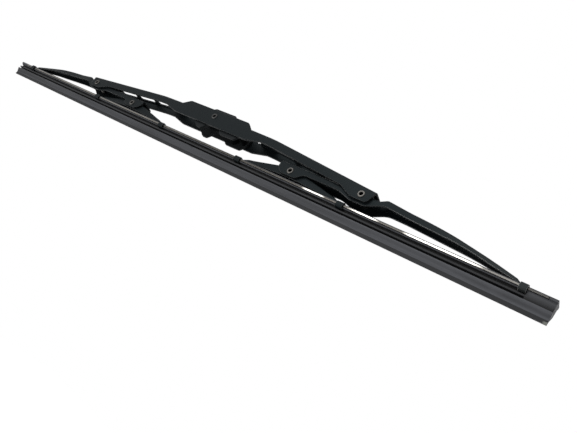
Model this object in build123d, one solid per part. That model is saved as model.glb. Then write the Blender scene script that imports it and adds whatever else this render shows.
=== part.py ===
from build123d import *
import os

# Wiper blade with a stamped steel frame, in millimetres. X runs along the blade, Y across it and +Z away
# from the glass. The origin is the middle of the centre pin. Heights are given over the claw line, which
# runs through the middle of the claws, and sides are given for the right half: the left is its mirror image.

# Stations of the frame
pin_height = 24.3
bridge_pivot_x = 151.0
bridge_pivot_height = 11.7
yoke_pivot_x = 93.0
yoke_pivot_height = 8.0
outer_claw_x = 261.4
claw_reach = 47.5
rubber_overhang_right = 18.0
rubber_overhang_left = 24.2

# Fits
rivet_fit = 0.03
running_fit = 0.05
liner_fit = 0.1
strip_fit = 0.03
claw_fit = 0.06
adapter_side_gap = 0.4

# Main bridge: an inverted channel with raised cheeks round an open centre
bridge_width = 16.0
bridge_sheet = 1.2
bridge_bend = 1.6
cheek_height = 30.0
cheek_end_x = 33.6
cheek_corner = 4.0
cheek_foot_x = 40.2
cheek_foot_height = 25.2
cheek_foot_ease = 1.5
cheek_tail_x = 55.0
cheek_low_x = 41.0
cheek_low_height = 15.6
cheek_low_ease = 8.0
arm_start_x = 40.5
arm_root_height = 25.9
arm_wall = 7.0
arm_bend_run = 87.0
arm_bend_height = 25.6
arm_bend_radius = 150.0
bridge_back = 5.4
bridge_overhang = 8.4
bridge_ear_drop = 4.2
bridge_ear_front = 6.4
bridge_ear_rear = 6.5
bridge_ear_run = 11.0
bridge_ear_corner = 3.2
bridge_ear_sweep = 8.0
window_half = 44.5
window_corner = 2.5
slot_count = 3
slot_start_x = 60.0
slot_end_gap = 22.0
slot_bar = 4.0
slot_width = 11.4
slot_corner = 2.5

# Secondary yokes: channels nested in the ends of the bridge
yoke_sheet = 1.0
yoke_bend = 1.4
yoke_back_height = 13.6
yoke_inner_reach = 11.5
yoke_shoulder_foot = 12.5
yoke_shoulder_x = 17.0
yoke_shoulder_height = 16.3
yoke_shoulder_ease = 3.0
yoke_arm_bend_run = 55.0
yoke_arm_bend_height = 13.7
yoke_arm_bend_radius = 300.0
yoke_tip_bend_reach = 21.4
yoke_tip_bend_height = 8.7
yoke_tip_bend_radius = 150.0
yoke_drop = 5.2
yoke_drop_height = 5.0
yoke_drop_run = 2.7
yoke_drop_ease = 1.5
yoke_ear_drop = 5.8
yoke_ear_half = 5.8
yoke_ear_corner = 4.5
yoke_ear_run = 11.5
yoke_ear_sweep = 13.0
yoke_low_height = 9.0
yoke_outer_low_height = 11.6
yoke_outer_low_bend_reach = 35.4
yoke_outer_low_bend_height = 8.0
yoke_outer_low_radius = 200.0
yoke_inner_ear_drop = 3.9
yoke_inner_ear_half = 6.2
yoke_inner_ear_run = 5.5
yoke_inner_corner = 3.6
yoke_waist_run = 33.0
yoke_waist = 9.4
yoke_waist_reach = 43.4
yoke_neck_reach = 21.4
yoke_neck = 6.2
plan_ease = 80.0

# Claw yokes: the smallest channels, with a claw at each end
claw_yoke_sheet = 0.9
claw_yoke_bend = 1.2
claw_yoke_crown_half = 6.5
claw_yoke_crown_ease = 12.0
claw_yoke_drop = 8.0
claw_yoke_drop_height = 5.2
claw_yoke_drop_run = 5.0
claw_yoke_drop_ease = 2.5
claw_yoke_ear_drop = 4.4
claw_yoke_ear_half = 5.0
claw_yoke_ear_ease = 12.0
claw_yoke_toe = 36.0
claw_yoke_toe_height = 2.9
claw_yoke_toe_ease = 20.0
claw_yoke_body_half = 10.0
claw_yoke_neck = 5.2
claw_yoke_neck_reach = 34.0

# Claws: short C sections that hold the head of the rubber
claw_length = 5.5
yoke_claw_length = 4.4
claw_bend = 1.2
claw_inner_corner = 0.3
claw_throat = 2.8

# Wiping rubber, from head to lip
head_top = 2.3
head_width = 6.0
head_bottom = -0.05
head_core = 1.8
groove_width = 2.2
groove_bottom = -2.05
rib_width = 5.4
rib_bottom = -3.2
neck_width = 1.2
neck_bottom = -4.7
wedge_width = 5.6
wedge_shoulder = 0.5
wedge_bottom = -9.1
lip_width = 0.9
lip_tip = -11.4
rubber_edge = 0.15

# Flexor strips in the sides of the head
strip_thickness = 1.0
strip_top = 1.75
strip_proud = 0.9
strip_overhang = 13.5
strip_end_round = 0.6

# Plastic liners of the four pivots
liner_wall = 0.6
liner_half = 6.4
liner_drop = 3.4
liner_corner = 2.8
yoke_liner_half = 5.4
yoke_liner_drop = 3.0
swing_gap = 0.7

# Rivets and centre pin
rivet_radius = 1.8
rivet_hollow = 1.25
rivet_hollow_depth = 3.5
clinch_radius = 2.5
clinch_height = 0.7
clinch_edge = 0.3
clinch_roll = 0.35
rivet_head_radius = 3.0
rivet_head_height = 0.95
rivet_head_rim = 0.2
yoke_rivet_radius = 1.6
pin_radius = 2.4

# Arm adapter: a plastic moulding that the hook of the wiper arm grips
flange_thickness = 1.6
flange_front = 21.0
flange_rear = 35.0
flange_top = 5.2
flange_top_front = 14.0
flange_top_rear = 29.0
crown_top = 7.9
crown_front = 6.0
crown_rear = 16.5
crown_ramp = 3.0
flange_front_low = -5.5
flange_rear_low = -6.5
boss_lobe_x = -8.0
boss_lobe_low = -12.8
boss_lobe_half = 2.4
saddle_low = -7.8
saddle_front = -1.5
saddle_rear = 12.0
rear_lobe_low = -11.6
rear_lobe_front = 15.5
rear_lobe_rear = 31.0
flange_corner = 2.5
core_half = 4.0
core_front = 13.0
core_rear = 26.0
core_nose = 3.9
core_edge = 1.0
hook_gap = 4.3
tongue_thickness = 1.4
tongue_tip = 3.0
tongue_root = 3.2
tongue_root_ease = 1.6
tongue_edge = 0.3
nub_height = 0.9
nub_length = 3.0
nub_ramp = 1.5
nub_width = 4.4
nub_edge = 0.2
release_bar_x = 32.0
release_bar_thickness = 2.4
release_bar_height = 4.8
release_bar_z = -5.0
release_bar_round = 0.8

bridge_half = bridge_width / 2
yoke_half = bridge_half - bridge_sheet - liner_wall - 2 * liner_fit
claw_yoke_half = yoke_half - yoke_sheet - liner_wall - 2 * liner_fit
bridge_pivot = (bridge_pivot_x, bridge_pivot_height - pin_height)
yoke_pivot = (yoke_pivot_x, yoke_pivot_height - pin_height)
strip_outer = head_width / 2 + strip_proud
claw_inner_half = strip_outer + claw_fit
claw_top = head_top + claw_fit
strip_length = 2 * (outer_claw_x + strip_overhang)
rubber_length = 2 * outer_claw_x + rubber_overhang_left + rubber_overhang_right
tall = 4 * cheek_height


def level(height):
    """Z of a height over the claw line."""
    return height - pin_height


def side_slab(points, radii, half_width):
    """Prism across the blade, from a closed outline in X and Z with rounded corners."""
    outline = Plane.XZ * make_face(FilletPolyline(*points, radius=radii, close=True))
    return extrude(outline, amount=half_width, both=True)


def plan_prism(half_outline, ease):
    """Upright prism from the half widths of a symmetric plan, given as (x, half width), its bends eased."""
    near_side = [(x, -half) for x, half in half_outline]
    far_side = [(x, half) for x, half in reversed(half_outline)]
    radii = [0, *[ease] * (len(half_outline) - 2), 0]
    outline = make_face(FilletPolyline(*near_side, *far_side, radius=[*radii, *radii], close=True))
    return extrude(outline, amount=tall, both=True)


def cross_hole(pivot, radius):
    """Drill across the whole blade at a pivot."""
    x, z = pivot
    return Pos(x, 0, z) * Rot(90, 0, 0) * Cylinder(radius, 2 * bridge_width)


def under(top_line, sheet):
    """Outline of all that lies a sheet's thickness or more under a top line."""
    lowered = [(x, z - sheet) for x, z in top_line]
    return [(lowered[0][0], -tall), *lowered, (lowered[-1][0], -tall)]


def back_edges(block):
    """The two upper edges along a block, where its sheet is folded down."""
    picked = []
    for edge in block.edges():
        run = edge.position_at(1) - edge.position_at(0)
        if abs(run.X) > abs(run.Y) and edge.position_at(0.5).Z > -tall / 2:
            picked.append(edge)
    return picked


def channel(top_line, top_radii, low_line, low_radii, plan, sheet, bend):
    """Folded sheet channel, open below: its back follows the top line and its walls reach the low line."""
    block = side_slab(under(top_line, 0), [0, *top_radii, 0], tall) & plan_prism(plan, plan_ease)
    block = fillet(back_edges(block), bend)
    walls = side_slab([*low_line, (low_line[-1][0], tall), (low_line[0][0], tall)], [*low_radii, 0, 0], tall)
    hollow = side_slab(under(top_line, sheet), [0, *top_radii, 0], tall)
    hollow &= plan_prism([(x, half - sheet) for x, half in plan], plan_ease)
    return (block & walls) - hollow


def claw(x, sheet, length):
    """C section round the head of the rubber, its hooks in the upper grooves."""
    inner, outer = claw_inner_half, claw_inner_half + sheet
    top, bottom = level(claw_top), level(head_bottom - claw_fit)
    throat = claw_throat / 2
    right = [(throat, bottom), (inner, bottom), (inner, top)]
    left = [(-y, z) for y, z in reversed(right)]
    back = [(-throat, bottom - sheet), (-outer, bottom - sheet), (-outer, top + sheet)]
    front = [(-y, z) for y, z in reversed(back)]
    radii = [0, claw_inner_corner, claw_inner_corner, claw_inner_corner, claw_inner_corner, 0]
    radii += [0, claw_bend, claw_bend, claw_bend, claw_bend, 0]
    section = make_face(FilletPolyline(*right, *left, *back, *front, radius=radii, close=True))
    return Pos(x - length / 2, 0, 0) * extrude(Plane.YZ * section, amount=length)


def main_bridge():
    """Two channel arms with vent slots, joined by the two cheeks round the open centre."""
    px, pz = bridge_pivot
    end_x = px + bridge_overhang
    arm_bend_x = px - arm_bend_run
    root_z, bend_z, end_z = level(arm_root_height), level(arm_bend_height), pz + bridge_back
    top_line = [(arm_start_x, root_z), (arm_bend_x, bend_z), (end_x, end_z)]
    ear_z = pz - bridge_ear_drop
    ear_start_x = px - bridge_ear_rear - bridge_ear_run
    ear_start_z = bend_z + (end_z - bend_z) * (ear_start_x - arm_bend_x) / (end_x - arm_bend_x)
    low_line = [(end_x, end_z), (px + bridge_ear_front, ear_z), (px - bridge_ear_rear, ear_z),
                (ear_start_x, ear_start_z - arm_wall), (arm_bend_x, bend_z - arm_wall),
                (arm_start_x, root_z - arm_wall)]
    low_radii = [0, bridge_ear_corner, bridge_ear_corner, bridge_ear_sweep, arm_bend_radius, 0]
    plan = [(arm_start_x, bridge_half), (end_x, bridge_half)]
    arm = channel(top_line, [0, arm_bend_radius, 0], low_line, low_radii, plan, bridge_sheet, bridge_bend)
    slot_span = bridge_pivot_x - slot_end_gap - slot_start_x
    slot_length = (slot_span - (slot_count - 1) * slot_bar) / slot_count
    for index in range(slot_count):
        middle_x = slot_start_x + slot_length / 2 + index * (slot_length + slot_bar)
        slot = RectangleRounded(slot_length, slot_width, slot_corner)
        arm -= Pos(middle_x, 0, 0) * extrude(slot, amount=tall, both=True)

    tail_z = root_z + (bend_z - root_z) * (cheek_tail_x - arm_start_x) / (arm_bend_x - arm_start_x) - arm_wall
    tail_middle_z = tail_z + arm_wall / 2
    half_cheek = [(cheek_end_x, level(cheek_height)), (cheek_foot_x, level(cheek_foot_height)),
                  (cheek_tail_x, tail_middle_z), (cheek_tail_x, tail_z),
                  (cheek_low_x, level(cheek_low_height))]
    radii = [cheek_corner, cheek_foot_ease, 0, 0, cheek_low_ease]
    mirrored = [(-x, z) for x, z in reversed(half_cheek)]
    cheeks = side_slab([*half_cheek, *mirrored], [*radii, *reversed(radii)], bridge_half)
    cheeks -= Box(2 * tall, bridge_width - 2 * bridge_sheet, 2 * tall)

    bridge = arm + mirror(arm, about=Plane.YZ) + cheeks
    window = RectangleRounded(2 * window_half, bridge_width - 2 * bridge_sheet, window_corner)
    bridge -= extrude(window, amount=tall, both=True)
    bridge -= cross_hole((0, 0), rivet_radius + rivet_fit)
    for side in (-1, 1):
        bridge -= cross_hole((side * px, pz), rivet_radius + rivet_fit)
    return bridge


def secondary_yoke():
    """Right yoke: a nested inner arm, ears at two pivots and a tapered outer arm that ends in a claw."""
    px, pz = bridge_pivot
    qx, qz = yoke_pivot
    back = level(yoke_back_height)
    inner_end = qx - yoke_inner_reach
    shoulder_x = px + yoke_shoulder_x
    strap_top = level(claw_top) + yoke_sheet
    drop_x = outer_claw_x - yoke_drop
    strap_x = drop_x + yoke_drop_run
    top_line = [(inner_end, back), (px + yoke_shoulder_foot, back), (shoulder_x, level(yoke_shoulder_height)),
                (px + yoke_arm_bend_run, level(yoke_arm_bend_height)),
                (outer_claw_x - yoke_tip_bend_reach, level(yoke_tip_bend_height)),
                (drop_x, level(yoke_drop_height)), (strap_x, strap_top), (outer_claw_x, strap_top)]
    top_radii = [0, yoke_shoulder_ease, yoke_shoulder_ease, yoke_arm_bend_radius, yoke_tip_bend_radius,
                 yoke_drop_ease, yoke_drop_ease, 0]
    low_line = [(outer_claw_x, strap_top - yoke_sheet), (strap_x, strap_top - yoke_sheet),
                (outer_claw_x - yoke_outer_low_bend_reach, level(yoke_outer_low_bend_height)),
                (shoulder_x, level(yoke_outer_low_height)),
                (px + yoke_ear_half, pz - yoke_ear_drop), (px - yoke_ear_half, pz - yoke_ear_drop),
                (px - yoke_ear_half - yoke_ear_run, level(yoke_low_height)),
                (qx + yoke_inner_ear_half + yoke_inner_ear_run, level(yoke_low_height)),
                (qx + yoke_inner_ear_half, qz - yoke_inner_ear_drop),
                (qx - yoke_inner_ear_half, qz - yoke_inner_ear_drop), (inner_end, qz)]
    low_radii = [0, yoke_drop_ease, yoke_outer_low_radius, yoke_ear_sweep, yoke_ear_corner, yoke_ear_corner,
                 yoke_ear_sweep, yoke_inner_corner, yoke_inner_corner, yoke_inner_corner, yoke_inner_corner]
    waist, neck = yoke_waist / 2, yoke_neck / 2
    plan = [(inner_end, yoke_half), (shoulder_x, yoke_half), (px + yoke_waist_run, waist),
            (outer_claw_x - yoke_waist_reach, waist), (outer_claw_x - yoke_neck_reach, neck),
            (outer_claw_x, neck)]
    yoke = channel(top_line, top_radii, low_line, low_radii, plan, yoke_sheet, yoke_bend)
    yoke += claw(outer_claw_x, yoke_sheet, yoke_claw_length)
    yoke -= cross_hole(bridge_pivot, rivet_radius + running_fit)
    yoke -= cross_hole(yoke_pivot, yoke_rivet_radius + rivet_fit)
    return yoke


def claw_yoke():
    """Right claw yoke: a short channel that tapers from its pivot to a claw at each end."""
    qx, qz = yoke_pivot
    crown = level(yoke_back_height) - yoke_sheet - liner_wall - liner_fit - swing_gap
    strap_top = level(claw_top) + claw_yoke_sheet
    strap_low = level(claw_top)
    drop_x = claw_reach - claw_yoke_drop
    strap_x = drop_x + claw_yoke_drop_run
    half_top = [(claw_yoke_crown_half, crown), (drop_x, level(claw_yoke_drop_height)),
                (strap_x, strap_top), (claw_reach, strap_top)]
    half_low = [(claw_reach, strap_low), (strap_x, strap_low), (claw_yoke_toe, level(claw_yoke_toe_height)),
                (claw_yoke_ear_half, qz - claw_yoke_ear_drop)]
    half_top_radii = [claw_yoke_crown_ease, claw_yoke_drop_ease, claw_yoke_drop_ease, 0]
    half_low_radii = [0, claw_yoke_drop_ease, claw_yoke_toe_ease, claw_yoke_ear_ease]
    right = [(qx + x, z) for x, z in half_top]
    left = [(qx - x, z) for x, z in reversed(half_top)]
    low_right = [(qx + x, z) for x, z in half_low]
    low_left = [(qx - x, z) for x, z in reversed(half_low)]
    plan_half = [(claw_yoke_body_half, claw_yoke_half), (claw_yoke_neck_reach, claw_yoke_neck / 2),
                 (claw_reach, claw_yoke_neck / 2)]
    plan = [(qx - x, half) for x, half in reversed(plan_half)] + [(qx + x, half) for x, half in plan_half]
    top_radii = [*reversed(half_top_radii), *half_top_radii]
    low_radii = [*half_low_radii, *reversed(half_low_radii)]
    body = channel([*left, *right], top_radii, [*low_right, *low_left], low_radii, plan,
                   claw_yoke_sheet, claw_yoke_bend)
    for side in (-1, 1):
        body += claw(qx + side * claw_reach, claw_yoke_sheet, claw_length)
    return body - cross_hole(yoke_pivot, yoke_rivet_radius + running_fit)


def wiping_rubber():
    """Extruded section with a slotted and capped head, two pairs of grooves, a wedge and a lip."""
    cap, cap_bottom = strip_outer, strip_top - strip_thickness
    head, groove, rib = head_width / 2, groove_width / 2, rib_width / 2
    neck, wedge, lip = neck_width / 2, wedge_width / 2, lip_width / 2
    near_side = [(cap, head_top), (cap, cap_bottom), (head, cap_bottom), (head, head_bottom),
                 (groove, head_bottom), (groove, groove_bottom), (rib, groove_bottom), (rib, rib_bottom),
                 (neck, rib_bottom), (neck, neck_bottom), (wedge, neck_bottom),
                 (wedge, neck_bottom - wedge_shoulder), (lip, wedge_bottom), (lip, lip_tip)]
    radii = [*[rubber_edge] * 11, wedge_shoulder, wedge_shoulder, 0]
    profile = [(y, level(h)) for y, h in near_side]
    profile += [(-y, level(h)) for y, h in reversed(near_side)]
    section = make_face(FilletPolyline(*profile, radius=[*radii, *reversed(radii)], close=True))
    left_end = -outer_claw_x - rubber_overhang_left
    rubber = Pos(left_end, 0, 0) * extrude(Plane.YZ * section, amount=rubber_length)
    slot_depth = strip_outer - head_core / 2
    slot_length = strip_length + 2 * strip_fit
    slot_z = level(strip_top - strip_thickness / 2)
    for side in (-1, 1):
        slot_y = side * (head_core / 2 + slot_depth)
        rubber -= Pos(0, slot_y, slot_z) * Box(slot_length, 2 * slot_depth, strip_thickness + 2 * strip_fit)
    return rubber


def flexor_strip(side):
    """Flat spring strip in one side of the head, its corners rounded at the ends."""
    width = strip_outer - head_core / 2 - strip_fit
    middle_y = side * (strip_outer - width / 2)
    plan = RectangleRounded(strip_length, width, strip_end_round)
    return Pos(0, middle_y, level(strip_top) - strip_thickness) * extrude(plan, amount=strip_thickness)


def saddle_liner(pivot, half_length, drop, top, outer_half, hole_radius):
    """Thin plastic saddle over the back of a nested channel, with a cheek on each side of the pivot."""
    x, z = pivot
    near, far, bottom = x - half_length, x + half_length, z - drop
    points = [(near, top), (far, top), (far, bottom), (near, bottom)]
    shell = side_slab(points, [0, 0, liner_corner, liner_corner], outer_half)
    inside = Box(4 * half_length, 2 * (outer_half - liner_wall), tall)
    shell -= Pos(x, 0, top - liner_wall - tall / 2) * inside
    return shell - cross_hole(pivot, hole_radius + running_fit)


def bridge_liner():
    """Liner between the bridge and the right secondary yoke."""
    top = level(yoke_back_height) + swing_gap + liner_wall
    outer_half = bridge_half - bridge_sheet - liner_fit
    return saddle_liner(bridge_pivot, liner_half, liner_drop, top, outer_half, rivet_radius)


def yoke_liner():
    """Liner between the right secondary yoke and its claw yoke."""
    top = level(yoke_back_height) - yoke_sheet - liner_fit
    outer_half = yoke_half - yoke_sheet - liner_fit
    return saddle_liner(yoke_pivot, yoke_liner_half, yoke_liner_drop, top, outer_half, yoke_rivet_radius)


def open_end(face):
    """Points of a rivet's rolled end, from the face that it clinches to the floor of its hollow."""
    edge, rim, floor = face + clinch_edge, face + clinch_height, face + clinch_height - rivet_hollow_depth
    return [(clinch_radius, face), (clinch_radius, edge), (clinch_radius - clinch_roll, rim),
            (rivet_hollow + clinch_roll, rim), (rivet_hollow, edge), (rivet_hollow, floor), (0, floor)]


def rivet(pivot, radius, half_span):
    """Semi-tubular rivet: a rolled hollow end on the near side and a domed head on the far side."""
    crown, edge = -half_span - rivet_head_height, -half_span - rivet_head_rim
    dome = TangentArc((0, crown), (rivet_head_radius, edge), tangent=(1, 0))
    shank = Polyline((rivet_head_radius, edge), (rivet_head_radius, -half_span), (radius, -half_span),
                     (radius, half_span), *open_end(half_span), (0, crown))
    turned = revolve(make_face([dome, shank]), axis=Axis.Y)
    x, z = pivot
    return Pos(x, 0, z) * Rot(0, 0, 180) * turned


def centre_pin():
    """Shouldered pin across the cheeks, its two hollow ends rolled over outside them."""
    inner_half = bridge_half - bridge_sheet
    profile = Polyline((0, 0), (pin_radius, 0), (pin_radius, inner_half), (rivet_radius, inner_half),
                       (rivet_radius, bridge_half), *open_end(bridge_half), close=True)
    half_pin = revolve(make_face(profile), axis=Axis.Y)
    return half_pin + mirror(half_pin, about=Plane.XZ)


def arm_adapter():
    """Two lobed and crowned flanges, the core for the hook, a spring tongue and a release bar."""
    outer = bridge_half - bridge_sheet - adapter_side_gap
    inner = outer - flange_thickness
    outline = [(-flange_top_front, flange_top), (-crown_front - crown_ramp, flange_top),
               (-crown_front, crown_top), (crown_rear, crown_top), (crown_rear + crown_ramp, flange_top),
               (flange_top_rear, flange_top), (flange_rear, 0), (flange_rear, flange_rear_low),
               (rear_lobe_rear, rear_lobe_low),
               (rear_lobe_front, rear_lobe_low), (saddle_rear, saddle_low), (saddle_front, saddle_low),
               (boss_lobe_x + boss_lobe_half, boss_lobe_low), (boss_lobe_x - boss_lobe_half, boss_lobe_low),
               (-flange_front, flange_front_low), (-flange_front, 0)]
    flanges = side_slab(outline, flange_corner, outer)
    flanges -= Box(2 * tall, 2 * inner, 2 * tall)

    core = side_slab([(-core_front, core_half), (core_rear, core_half), (core_rear, -core_half),
                      (-core_front, -core_half)], [core_nose, core_edge, core_edge, core_nose], inner)
    tongue_top = -core_half - hook_gap
    tongue_low = tongue_top - tongue_thickness
    tongue_half = inner - adapter_side_gap
    root_x = core_rear - tongue_root
    tongue = side_slab([(core_rear, 0), (core_rear, tongue_low), (tongue_tip, tongue_low),
                        (tongue_tip, tongue_top), (root_x, tongue_top), (root_x, 0)],
                       [0, tongue_root, tongue_edge, tongue_edge, tongue_root_ease, 0], tongue_half)
    nub_end, nub_top = tongue_tip + nub_length, tongue_top + nub_height
    nub = side_slab([(tongue_tip, tongue_top), (nub_end, tongue_top), (nub_end, nub_top),
                     (tongue_tip + nub_ramp, nub_top)], [0, 0, nub_edge, nub_edge], nub_width / 2)
    bar = Pos(release_bar_x, 0, release_bar_z) * Box(release_bar_thickness, 2 * inner, release_bar_height)
    bar = fillet(bar.edges().filter_by(Axis.Y), release_bar_round)
    adapter = flanges + core + tongue + nub + bar
    return adapter - cross_hole((0, 0), pin_radius + running_fit)


right_side = {"secondary_yoke": secondary_yoke(), "claw_yoke": claw_yoke(), "bridge_liner": bridge_liner(),
              "yoke_liner": yoke_liner(), "bridge_rivet": rivet(bridge_pivot, rivet_radius, bridge_half),
              "yoke_rivet": rivet(yoke_pivot, yoke_rivet_radius, yoke_half)}
nodes = {"main_bridge": main_bridge(), "wiping_rubber": wiping_rubber(),
         "flexor_strip_front": flexor_strip(-1), "flexor_strip_rear": flexor_strip(1),
         "centre_pin": centre_pin(), "arm_adapter": arm_adapter()}
for name, piece in right_side.items():
    nodes[name + "_right"] = piece
    nodes[name + "_left"] = mirror(piece, about=Plane.YZ)

os.makedirs("parts", exist_ok=True)
for name, piece in nodes.items():
    export_step(piece, os.path.join("parts", name + ".step"))
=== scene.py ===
import math

import bmesh
import bpy
from mathutils import Matrix, Vector


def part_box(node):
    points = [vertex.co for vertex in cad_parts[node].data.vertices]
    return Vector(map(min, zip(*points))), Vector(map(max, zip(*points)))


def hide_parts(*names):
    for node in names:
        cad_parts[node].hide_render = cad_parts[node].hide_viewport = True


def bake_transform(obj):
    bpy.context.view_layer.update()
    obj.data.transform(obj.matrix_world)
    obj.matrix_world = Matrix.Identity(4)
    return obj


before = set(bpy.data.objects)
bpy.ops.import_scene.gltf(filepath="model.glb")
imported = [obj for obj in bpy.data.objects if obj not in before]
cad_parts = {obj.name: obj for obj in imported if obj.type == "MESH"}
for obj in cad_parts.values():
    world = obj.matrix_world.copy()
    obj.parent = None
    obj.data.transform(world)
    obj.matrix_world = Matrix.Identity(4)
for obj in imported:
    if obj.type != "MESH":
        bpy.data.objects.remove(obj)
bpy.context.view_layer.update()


# Stamped frame: the bridge, the two secondary yokes and the two claw yokes.
# They are folded from steel sheet and dipped in satin black paint, which is thin on the
# cut edges and gathers dust on the flats. The edges are also painted lighter as a highlight,
# brighter still along the right arm, where the black itself is painted lighter as a sheen.
class Wire:
    """One output of a material's nodes: arithmetic adds Math nodes, and node() adds any other node."""

    def __init__(self, tree, socket):
        self.tree = tree
        self.socket = socket

    def node(self, kind, settings, inputs, output=0):
        added = self.tree.nodes.new("ShaderNode" + kind)
        for name, value in settings.items():
            setattr(added, name, value)
        for name, value in inputs.items():
            if isinstance(value, Wire):
                self.tree.links.new(value.socket, added.inputs[name])
            else:
                added.inputs[name].default_value = value
        return Wire(self.tree, added.outputs[output]) if added.outputs else None

    def maths(self, operation, first, second, clamp=False):
        settings = {"operation": operation, "use_clamp": clamp}
        return self.node("Math", settings, {0: first, 1: second})

    def __add__(self, other):
        return self.maths("ADD", self, other)

    __radd__ = __add__

    def __sub__(self, other):
        return self.maths("SUBTRACT", self, other)

    def __rsub__(self, other):
        return self.maths("SUBTRACT", other, self)

    def __mul__(self, other):
        return self.maths("MULTIPLY", self, other)

    __rmul__ = __mul__

    def __abs__(self):
        return self.maths("ABSOLUTE", self, 0.0)

    def limited(self):
        """The same value, kept from 0 to 1."""
        return self.maths("ADD", self, 0.0, clamp=True)

    def ramp(self, start, end):
        """0 up to one value, 1 past another, and an even slope between them."""
        return ((self - start) * (1 / (end - start))).limited()

    def between(self, low, high, blur):
        """1 between two values and 0 outside them, with sloping sides."""
        return self.ramp(low, low + blur) * self.ramp(high, high - blur)

    def mix(self, low, high):
        """A colour between two others, by this value. A Mix node has its colours at 6, 7 and output 2."""
        return self.node("Mix", {"data_type": "RGBA"}, {"Factor": self, 6: low, 7: high}, 2)

    def axis(self, letter):
        """How far this place lies along X, Y or Z."""
        return self.node("SeparateXYZ", {}, {"Vector": self}, letter)

    def grain(self, scale, detail, stretch=(1, 1, 1)):
        """Noise at so many grains a metre, read at this place on the piece."""
        place = self.node("Mapping", {}, {"Vector": self, "Scale": stretch})
        return self.node("TexNoise", {}, {"Vector": place, "Scale": scale, "Detail": detail})


def new_finish(name):
    """A material with no nodes yet, and the place on the piece that its patterns read."""
    material = bpy.data.materials.new(name)
    material.use_nodes = True
    material.node_tree.nodes.clear()
    place = Wire(material.node_tree, None).node("TexCoord", {}, {}, "Object")
    return material, place


def surface(place, inputs):
    """Ends a material with its one shader."""
    shader = place.node("BsdfPrincipled", {}, inputs)
    place.node("OutputMaterial", {}, {"Surface": shader})


def soft_edges(place, radius):
    """The normal with rounded edges, and a mask of those edges."""
    rounded = place.node("Bevel", {"samples": 6}, {"Radius": radius}, "Normal")
    plain = place.node("NewGeometry", {}, {}, "Normal")
    facing = place.node("VectorMath", {"operation": "DOT_PRODUCT"}, {0: rounded, 1: plain}, "Value")
    return rounded, facing.ramp(1, 0.8)


def open_air(place, reach):
    """1 on open faces, falling to 0 in corners and hollows that are closed in within a reach."""
    sky = place.node("AmbientOcclusion", {"samples": 8, "only_local": True}, {"Distance": reach}, "AO")
    return sky.ramp(0.5, 1)


def relief(pattern, strength, depth, **base):
    """The normal of a surface with a pattern raised on it."""
    return pattern.node("Bump", {}, {"Strength": strength, "Distance": depth, "Height": pattern, **base})


deep_black = (0.0031, 0.0042, 0.0048, 1)
soft_black = (0.0052, 0.0066, 0.0074, 1)
sheen_black = (0.020, 0.022, 0.022, 1)
dust_grey = (0.030, 0.030, 0.030, 1)
thin_paint_and_glint = (0.17, 0.168, 0.165, 1)
bare_edge_and_glint = (0.42, 0.42, 0.41, 1)
arm_glint_start, arm_glint_full = 0.165, 0.1817
sheen_starts, sheen_full = 0.19, 0.2567


def satin_paint():
    material, place = new_finish("satin_black_paint")
    along = place.axis("X")
    peel = place.grain(1400, detail=2.0)
    cloud = place.grain(55, detail=4.0)
    dust = place.grain(2600, detail=1.0).ramp(2 / 3, 5 / 6)
    rounded, edges = soft_edges(place, radius=0.0003)
    # Painted highlight: the edges are lighter, partly thin paint and partly edges catching light, and
    # brighter along the right arm.
    arm_edge_glint = along.ramp(arm_glint_start, arm_glint_full)
    worn_and_glinting = edges * open_air(place, reach=0.002) * (0.7 + arm_edge_glint * 0.3)
    # Painted sheen: the black is painted lighter along the right arm.
    colour = along.ramp(sheen_starts, sheen_full).mix(cloud.mix(deep_black, soft_black), sheen_black)
    colour = (dust * 0.2).mix(colour, dust_grey)
    surface(place, {
        "Base Color": worn_and_glinting.mix(colour, arm_edge_glint.mix(thin_paint_and_glint, bare_edge_and_glint)),
        "Roughness": 0.38 + cloud * 0.16 + dust * 0.1,
        "Specular IOR Level": 0.072,
        "Specular Tint": (0.80, 1.0, 1.06, 1),
        "Normal": relief(peel, strength=0.12, depth=0.00006, Normal=rounded),
    })
    return material


def dress(material, *names):
    """Gives a finish to pieces of the frame that keep their own shape."""
    for name in names:
        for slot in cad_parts[name].material_slots:
            slot.material = material


dress(satin_paint(), "main_bridge", "secondary_yoke_left", "secondary_yoke_right", "claw_yoke_left",
      "claw_yoke_right")


# Pivot liners: thin moulded saddles of dark plastic that keep the nested channels
# from rubbing and rattling at the four outer pivots.
liner_black = (0.018, 0.018, 0.019, 1)
liner_edge = (0.05, 0.05, 0.05, 1)


def liner_plastic():
    material, place = new_finish("liner_plastic")
    mould = place.grain(1800, detail=2.0)
    rounded, edges = soft_edges(place, radius=0.00012)
    surface(place, {
        # Edges painted lighter: partly wear, partly a painted highlight.
        "Base Color": (edges * 0.5).mix(liner_black, liner_edge),
        "Roughness": 0.5 + mould * 0.15,
        "Normal": relief(mould, strength=0.2, depth=0.00003, Normal=rounded),
    })
    return material


dress(liner_plastic(), "bridge_liner_left", "bridge_liner_right", "yoke_liner_left", "yoke_liner_right")


# Rivets and centre pin: plated steel, with hollow ends rolled over outside the walls.
# The plating is dull and cloudy on the rolled rings, with painted shade down in the hollows.
rivet_dull, rivet_bright = (0.035, 0.034, 0.032, 1), (0.115, 0.110, 0.102, 1)
pin_dull, pin_bright = (0.03, 0.03, 0.03, 1), (0.07, 0.07, 0.068, 1)
hollow_shade = (0.013, 0.013, 0.013, 1)


def plated_steel(name, dull, bright):
    material, place = new_finish(name)
    wear = place.grain(700, detail=4.0)
    rub = place.grain(2400, detail=2.0)
    surface(place, {
        # Painted shade: the hollows darken the more closed in they are.
        "Base Color": open_air(place, reach=0.004).mix(hollow_shade, wear.mix(dull, bright)),
        "Metallic": 1.0,
        "Roughness": 0.28 + wear * 0.22,
        "Normal": relief(rub, strength=0.25, depth=0.00003),
    })
    return material


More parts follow.
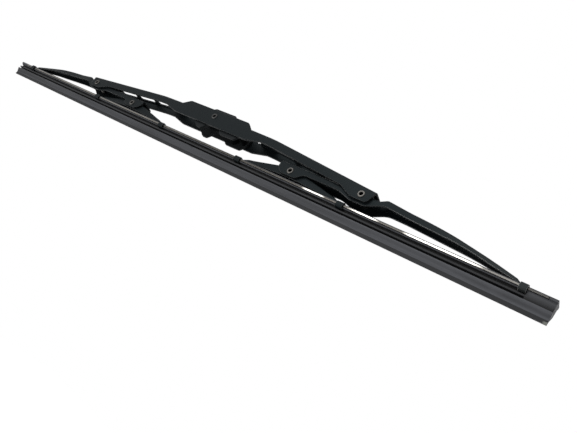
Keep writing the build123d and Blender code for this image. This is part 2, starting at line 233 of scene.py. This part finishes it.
dress(plated_steel("rivet_steel", rivet_dull, rivet_bright), "bridge_rivet_left", "bridge_rivet_right",
      "yoke_rivet_left", "yoke_rivet_right")
dress(plated_steel("pin_steel", pin_dull, pin_bright), "centre_pin")


# Arm adapter: one black plastic moulding between the cheeks of the bridge.
# Its flanges have the fine grain of a spark-eroded mould. Between them it is matt
# and painted darker as shade, apart from a patch at the front painted lighter as light falling on it.
flange_dark, flange_pale = (0.0100, 0.0117, 0.0125, 1), (0.0138, 0.0155, 0.0164, 1)
flange_edge = (0.022, 0.022, 0.023, 1)
inner_shade, inner_lit_patch = (0.0022, 0.0028, 0.0030, 1), (0.0125, 0.0138, 0.0145, 1)
flange_inside, flange_blur = 0.0046, 0.00025
lit_patch_start, lit_patch_end, lit_patch_blur = 0.009, 0.021, 0.00333
lit_patch_inner, lit_patch_outer = -0.0012, -0.00231


def adapter_plastic():
    material, place = new_finish("adapter_plastic")
    mould = place.grain(2200, detail=2.0)
    cloud = place.grain(90, detail=3.0)
    rounded, edges = soft_edges(place, radius=0.00025)
    along, across = place.axis("X"), place.axis("Y")
    # Painted shade between the flanges, and a painted patch of light on the front.
    inside = abs(across).ramp(flange_inside, flange_inside - flange_blur)
    lit_patch = along.between(lit_patch_start, lit_patch_end, lit_patch_blur) * across.ramp(lit_patch_inner, lit_patch_outer)
    colour = inside.mix(cloud.mix(flange_dark, flange_pale), lit_patch.mix(inner_shade, inner_lit_patch))
    surface(place, {
        # Flange edges painted lighter: partly wear, partly a painted highlight.
        "Base Color": (edges * 0.4 * (1 - inside)).mix(colour, flange_edge),
        "Roughness": (0.46 + mould * 0.16 + inside * 0.6).limited(),
        "Specular IOR Level": 0.05,
        "Normal": relief(mould, strength=0.3, depth=0.00005, Normal=rounded),
    })
    return material


dress(adapter_plastic(), "arm_adapter")


# Flexor strips: two flat strips of spring steel in the slots of the rubber's head.
# Each is drawn as two halves that meet at the middle.
bend_step = 0.006
middle_lap = 0.0025
tongue_play = 0.00003
weld = 1e-6
halves = ((1, "right", middle_lap), (-1, "left", 0))


def slice_across(mesh, along, facing=1, clear=False):
    """Cuts a mesh square across at a place along the blade, and can clear what lies beyond the cut."""
    everything = mesh.verts[:] + mesh.edges[:] + mesh.faces[:]
    cut = bmesh.ops.bisect_plane(mesh, geom=everything, dist=weld, plane_co=(along, 0, 0),
                                 plane_no=(facing, 0, 0), clear_outer=clear)
    return [item for item in cut["geom_cut"] if isinstance(item, bmesh.types.BMEdge)]


def half_strip(node, side, hand, lap):
    """One half of a long piece, cut into short lengths. A lap gives it a tongue."""
    mesh = bmesh.new()
    mesh.from_mesh(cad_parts[node].data)
    bmesh.ops.remove_doubles(mesh, verts=mesh.verts, dist=weld)
    rim = slice_across(mesh, 0, facing=-side, clear=True)
    bmesh.ops.contextual_create(mesh, geom=rim)
    low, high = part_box(node)
    end = high.x if side > 0 else -low.x
    for index in range(1, int(end / bend_step)):
        slice_across(mesh, side * index * bend_step)
    if lap:
        caps = [face for face in mesh.faces if abs(face.calc_center_median().x) < weld]
        bmesh.ops.inset_region(mesh, faces=caps, thickness=tongue_play, use_even_offset=True)
        tongue = bmesh.ops.extrude_face_region(mesh, geom=caps)["geom"]
        bmesh.ops.delete(mesh, geom=caps, context="FACES")
        tips = [item for item in tongue if isinstance(item, bmesh.types.BMVert)]
        bmesh.ops.translate(mesh, verts=tips, vec=(-side * lap, 0, 0))
    bmesh.ops.recalc_face_normals(mesh, faces=mesh.faces)
    data = bpy.data.meshes.new(node + "_" + hand)
    mesh.to_mesh(data)
    mesh.free()
    piece = bpy.data.objects.new(node + "_" + hand, data)
    bpy.context.scene.collection.objects.link(piece)
    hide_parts(node)
    return piece


def follow_claws(piece):
    """Bakes a half's placement into its mesh; the half is not bent."""
    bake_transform(piece)


dull_dark, dull_pale = (0.05, 0.047, 0.042, 1), (0.24, 0.228, 0.204, 1)
glint_dark, glint_pale = (0.46, 0.44, 0.40, 1), (0.78, 0.76, 0.71, 1)
strip_edge = (0.56, 0.54, 0.49, 1)
end_dark = (0.033, 0.032, 0.030, 1)
# Stretches of the strips, as places along the blade from its pin.
paler_full, paler_ends = -0.08, 0.02
glint_patch_start, glint_patch_end, glint_patch_blur = 0.108, 0.128, 0.00333
glint_starts, glint_full = 0.146, 0.156
dim_start, dim_end, dim_blur = 0.166, 0.192, 0.005
darkening_starts, darkening_full = 0.232, 0.2391
last_claw_starts, last_claw_full = 0.258, 0.2613


def spring_steel():
    material, place = new_finish("spring_steel")
    draw = place.grain(900, detail=4.0, stretch=(0.02, 1, 1))
    stain = place.grain(38, detail=3.0)
    along = place.axis("X")
    rounded, edges = soft_edges(place, radius=0.00012)
    # The tone varies at random and is paler towards the left end.
    tone = (stain * 0.5 + along.ramp(paler_ends, paler_full) * 0.7 - 0.22).limited()
    # A darker stretch with no painted glint.
    dimmed = along.between(dim_start, dim_end, dim_blur)
    # Painted reflection: stretches of the strip are painted much brighter, as the steel's glints.
    glint = along.between(glint_patch_start, glint_patch_end, glint_patch_blur) + along.ramp(glint_starts, glint_full)
    glint = (glint - dimmed).limited()
    # Darker towards the right end, and a little more past the last claw.
    darkened = along.ramp(darkening_starts, darkening_full) * 0.92 + dimmed * 0.4
    darkened = darkened + along.ramp(last_claw_starts, last_claw_full) * 0.08
    colour = glint.mix(tone.mix(dull_dark, dull_pale), stain.mix(glint_dark, glint_pale))
    colour = darkened.mix(colour, end_dark)
    surface(place, {
        # Edges painted lighter: partly wear, partly a painted highlight.
        "Base Color": (edges * 0.3).mix(colour, strip_edge),
        "Metallic": 1.0,
        "Roughness": 0.24 + draw * 0.22,
        "Normal": relief(draw, strength=0.2, depth=0.00002, Normal=rounded),
    })
    return material


steel = spring_steel()
for node in ("flexor_strip_front", "flexor_strip_rear"):
    for side, hand, lap in halves:
        strip = half_strip(node, side, hand, lap)
        strip.data.materials.append(steel)
        follow_claws(strip)


# Wiping rubber: one extruded length with a slotted head, two pairs of grooves, a wedge and
# a lip. Past the last claw on the right the grooves are shut and the lip has a pale corner.
# The flanks have streaks along the blade, a cloudy tone, and rubs near that end. The flanks, and more
# weakly the top of the head, are painted paler than the upright faces as light from below, with painted
# shade across the flanks' middle, in the grooves and down the shut face.
rubber_low, rubber_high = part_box("wiping_rubber")
last_claw_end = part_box("secondary_yoke_right")[1].x
# Depths run down from the top of the head, and places along the blade run from its pin.
shut_gap = 0.0002
shut_step = 0.0002
shut_from, shut_to = 0.0021, 0.00705
shut_half = 0.00285
head_depth = 0.0028
groove_depth = 0.0070
groove_half = 0.0024
flank_top, flank_bottom = 0.0069, 0.0114
flank_middle, flank_half = 0.0092, 0.00222
shut_foot = 0.0066
shut_depth = 0.0071
corner_length, corner_fade = 0.0026, 0.0011
corner_height, corner_rise = 0.0016, 0.0004
tone_blur = 0.00025
profile_shade_starts, profile_shade_full = 0.06, 0.16
rubs_start, rubs_full = 0.15, 0.25
core_dark, core_pale = (0.010, 0.0105, 0.0115, 1), (0.018, 0.0185, 0.020, 1)
lit_flank_dark, lit_flank_pale = (0.022, 0.0227, 0.025, 1), (0.074, 0.0762, 0.084, 1)
groove_shade = (0.009, 0.0092, 0.0096, 1)
shut_shaded, shut_lit = (0.003, 0.0031, 0.0034, 1), (0.050, 0.0515, 0.056, 1)
corner_grey = (0.15, 0.155, 0.14, 1)
rubber_edge = (0.10, 0.10, 0.105, 1)


def blade_rubber():
    material, place = new_finish("blade_rubber")
    streak = place.grain(420, detail=3.0, stretch=(0.035, 1, 1))
    bloom = place.grain(48, detail=5.0, stretch=(0.4, 1, 1))
    speck = place.grain(3000, detail=1.0)
    along, across = place.axis("X"), place.axis("Y")
    depth = rubber_high.z - place.axis("Z")
    rounded, edges = soft_edges(place, radius=0.00015)
    # Painted light: the flank, and more weakly the head's top, get the paler colours; the other faces keep
    # the darker core colours.
    flank = depth.between(flank_top, flank_bottom, tone_blur)
    head = depth.ramp(head_depth, head_depth - tone_blur)
    # Painted shade in the grooves.
    groove = abs(across).ramp(groove_half, groove_half - tone_blur)
    groove = groove * depth.ramp(groove_depth, groove_depth - tone_blur)
    rubs = place.grain(130, detail=3.0, stretch=(0.35, 1, 1)).ramp(0.54, 0.74)
    rubs = rubs * along.ramp(rubs_start, rubs_full)
    # Painted shade across the flank's middle, lighter at its top and bottom edges, stronger towards the
    # right.
    off_middle = (depth - flank_middle) * (1 / flank_half)
    profile_shade = off_middle * off_middle * (0.2 + along.ramp(profile_shade_starts, profile_shade_full) * 0.35)
    cloud = streak * 1.05 + bloom * 0.5 + profile_shade + along * 0.7 + rubs * 0.3 - 0.41
    colour = cloud.mix(core_dark, core_pale)
    colour = (flank + head * 0.6).limited().mix(colour, cloud.mix(lit_flank_dark, lit_flank_pale))
    colour = groove.mix(colour, groove_shade)
    # Past the last claw, painted shade deepens from the top of the shut face to its foot.
    shut = along.ramp(last_claw_end, last_claw_end + shut_gap + shut_step)
    shut = shut * depth.ramp(shut_depth, shut_depth - tone_blur)
    colour = shut.mix(colour, depth.ramp(shut_foot, head_depth).mix(shut_shaded, shut_lit))
    # A pale corner at the right end of the lip.
    corner_start = rubber_high.x - corner_length
    corner_top = rubber_high.z - rubber_low.z - corner_height
    pale_corner = along.ramp(corner_start, corner_start + corner_fade) * depth.ramp(corner_top, corner_top + corner_rise)
    colour = pale_corner.mix(colour, corner_grey)
    surface(place, {
        # Edges painted lighter: partly wear, partly a painted highlight.
        "Base Color": (edges * 0.15).mix(colour, rubber_edge),
        "Roughness": 0.5 + bloom * 0.2,
        "Specular IOR Level": 0.15,
        "Normal": relief(speck + streak, strength=0.15, depth=0.00003, Normal=rounded),
    })
    return material


def shut_end(half):
    """Closes the grooves past the last claw, where the rubber is solid, by moving their walls out."""
    start = last_claw_end + shut_gap
    mesh = bmesh.new()
    mesh.from_mesh(half.data)
    slice_across(mesh, start)
    slice_across(mesh, start + shut_step)
    for vert in mesh.verts:
        if vert.co.x > start + shut_step / 2 and shut_from < rubber_high.z - vert.co.z < shut_to:
            vert.co.y = math.copysign(max(abs(vert.co.y), shut_half), vert.co.y)
    bmesh.ops.remove_doubles(mesh, verts=mesh.verts, dist=weld)
    mesh.to_mesh(half.data)
    mesh.free()


rubber = blade_rubber()
for side, hand, lap in halves:
    half = half_strip("wiping_rubber", side, hand, lap)
    if hand == "right":
        shut_end(half)
    half.data.materials.append(rubber)
    follow_claws(half)


# Studio: a white floor well under the blade, a white surround and soft lamps.
# The camera stands in front of the right end and below it, turned with the blade.
floor_drop = 1.1
floor_half = 6.0
floor_white = (0.80, 0.80, 0.80, 1)
floor_mesh = bmesh.new()
bmesh.ops.create_grid(floor_mesh, x_segments=1, y_segments=1, size=floor_half,
                      matrix=Matrix.Translation((0, 0, -floor_drop)))
floor_data = bpy.data.meshes.new("floor")
floor_mesh.to_mesh(floor_data)
floor_mesh.free()
floor = bpy.data.objects.new("floor", floor_data)
bpy.context.scene.collection.objects.link(floor)


def seen_by(start, *kinds):
    """1 for rays of these kinds and 0 for all others."""
    return sum(start.node("LightPath", {}, {}, "Is " + kind + " Ray") for kind in kinds).limited()


floor_paint, floor_place = new_finish("floor_paint")
surface(floor_place, {
    "Base Color": floor_white,
    "Roughness": 0.9,
    "Specular IOR Level": 0.0,
    "Emission Color": seen_by(floor_place, "Camera", "Glossy").mix((0, 0, 0, 1), floor_white),
    "Emission Strength": 1.0,
})
floor_data.materials.append(floor_paint)

ambient = 0.42
world = bpy.data.worlds.new("white_surround")
world.use_nodes = True
world.node_tree.nodes.clear()
surround = Wire(world.node_tree, None)
strength = ambient + seen_by(surround, "Camera", "Glossy", "Transmission") * (1 - ambient)
sky = surround.node("Background", {}, {"Color": (1, 1, 1, 1), "Strength": strength})
surround.node("OutputWorld", {}, {"Surface": sky})
bpy.context.scene.world = world


def soft_lamp(name, place, aim, size, power):
    """A square lamp that faces a point."""
    data = bpy.data.lights.new(name, "AREA")
    data.size = size
    data.energy = power
    lamp = bpy.data.objects.new(name, data)
    lamp.visible_camera = False
    lamp.location = place
    lamp.rotation_euler = (Vector(aim) - Vector(place)).to_track_quat("-Z", "Y").to_euler()
    bpy.context.scene.collection.objects.link(lamp)


soft_lamp("low_lamp", place=(-0.35, -0.75, -0.75), aim=(0.05, 0, -0.02), size=0.8, power=6)
soft_lamp("front_lamp", place=(-0.30, -1.1, 0.62), aim=(0.1, 0, -0.02), size=0.8, power=11)
soft_lamp("back_lamp", place=(0.5, 1.2, 1.1), aim=(0, 0, 0), size=1.0, power=10)

camera_place = Vector((0.34041, -0.29175, -0.16671))
camera_aim = Vector((0.1124, 0.0, -0.04442))
camera_roll = math.radians(40.07)
camera_data = bpy.data.cameras.new("camera")
camera_data.sensor_width = 36.0
camera_data.lens = 37.44
camera_data.clip_start = 0.01
camera = bpy.data.objects.new("camera", camera_data)
aimed = (camera_aim - camera_place).to_track_quat("-Z", "Y").to_matrix().to_4x4()
camera.matrix_world = Matrix.Translation(camera_place) @ aimed @ Matrix.Rotation(camera_roll, 4, "Z")
bpy.context.scene.collection.objects.link(camera)
bpy.context.scene.camera = camera
bpy.context.scene.view_settings.view_transform = "Standard"
